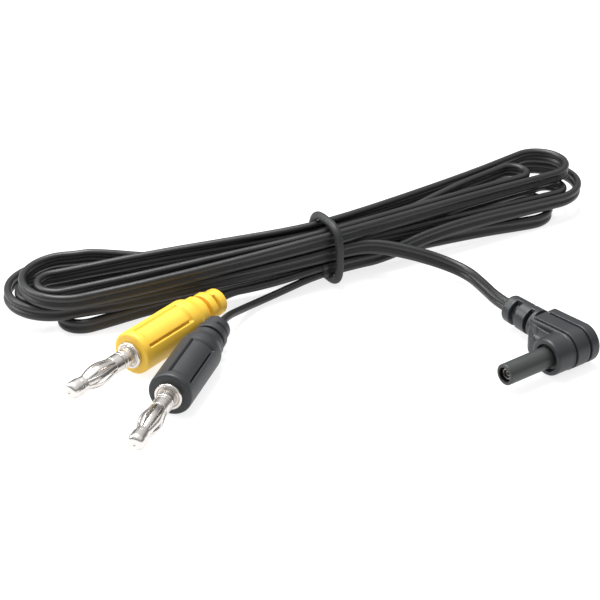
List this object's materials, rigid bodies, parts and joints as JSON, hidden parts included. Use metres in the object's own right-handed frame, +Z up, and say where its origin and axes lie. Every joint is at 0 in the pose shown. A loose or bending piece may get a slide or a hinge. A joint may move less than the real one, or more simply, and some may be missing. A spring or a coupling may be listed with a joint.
{
  "type": "twin test lead",
  "caption": "Figure-eight twin test lead wound in a hank under a rubber ring, with a shrouded right-angle plug on one end and two spring banana plugs on the split other end.",
  "frame": {"origin": "on the bench, under the middle of the whole lead", "axes": "+Z up from the bench; +X to the right along the longest side of the lead as it lies; +Y away from the banana plugs"},
  "size_m": [0.1336, 0.1233, 0.0159],
  "materials": {
    "cord": "satin soft PVC",
    "tie": "matt",
    "elbow_plastic": "satin overmould",
    "sleeve_plastic": "satin",
    "insulator": "satin",
    "nickel": "bright nickel plate",
    "copper": "stripped copper strand",
    "yellow_plastic": "satin moulded",
    "black_plastic": "satin moulded"
  },
  "bodies": {
    "lead": {"hank": "cord", "elbow_lead": "cord", "yellow_lead": "cord", "black_lead": "cord", "elbow_body": "elbow_plastic", "shroud": "sleeve_plastic", "contact_insulator": "insulator", "contact_barrel": "nickel", "centre_contact": "nickel", "yellow_core_pin": "nickel", "yellow_tip_cap": "nickel", "black_core_pin": "nickel", "black_tip_cap": "nickel", "elbow_conductors": "copper", "yellow_conductor": "copper", "black_conductor": "copper", "yellow_grip": "yellow_plastic", "black_grip": "black_plastic"},
    "tie": {"hank_tie": "tie"},
    "yellow_spring": {"yellow_spring_cage": "nickel"},
    "black_spring": {"black_spring_cage": "nickel"}
  },
  "joints": [
    {"name": "yellow_spring_spin", "type": "hinge", "parent": "lead", "child": "yellow_spring", "pos_m": [-0.0367, -0.02745, 0.00475], "axis": [0.6032, 0.7976, 0], "continuous": true},
    {"name": "black_spring_spin", "type": "hinge", "parent": "lead", "child": "black_spring", "pos_m": [-0.0277, -0.04355, 0.00475], "axis": [0.3057, 0.9521, 0], "continuous": true},
    {"name": "tie_slide", "type": "slide", "parent": "lead", "child": "tie", "axis": [0.866, 0.5, 0], "range_m": [-0.003, 0.003]}
  ]
}
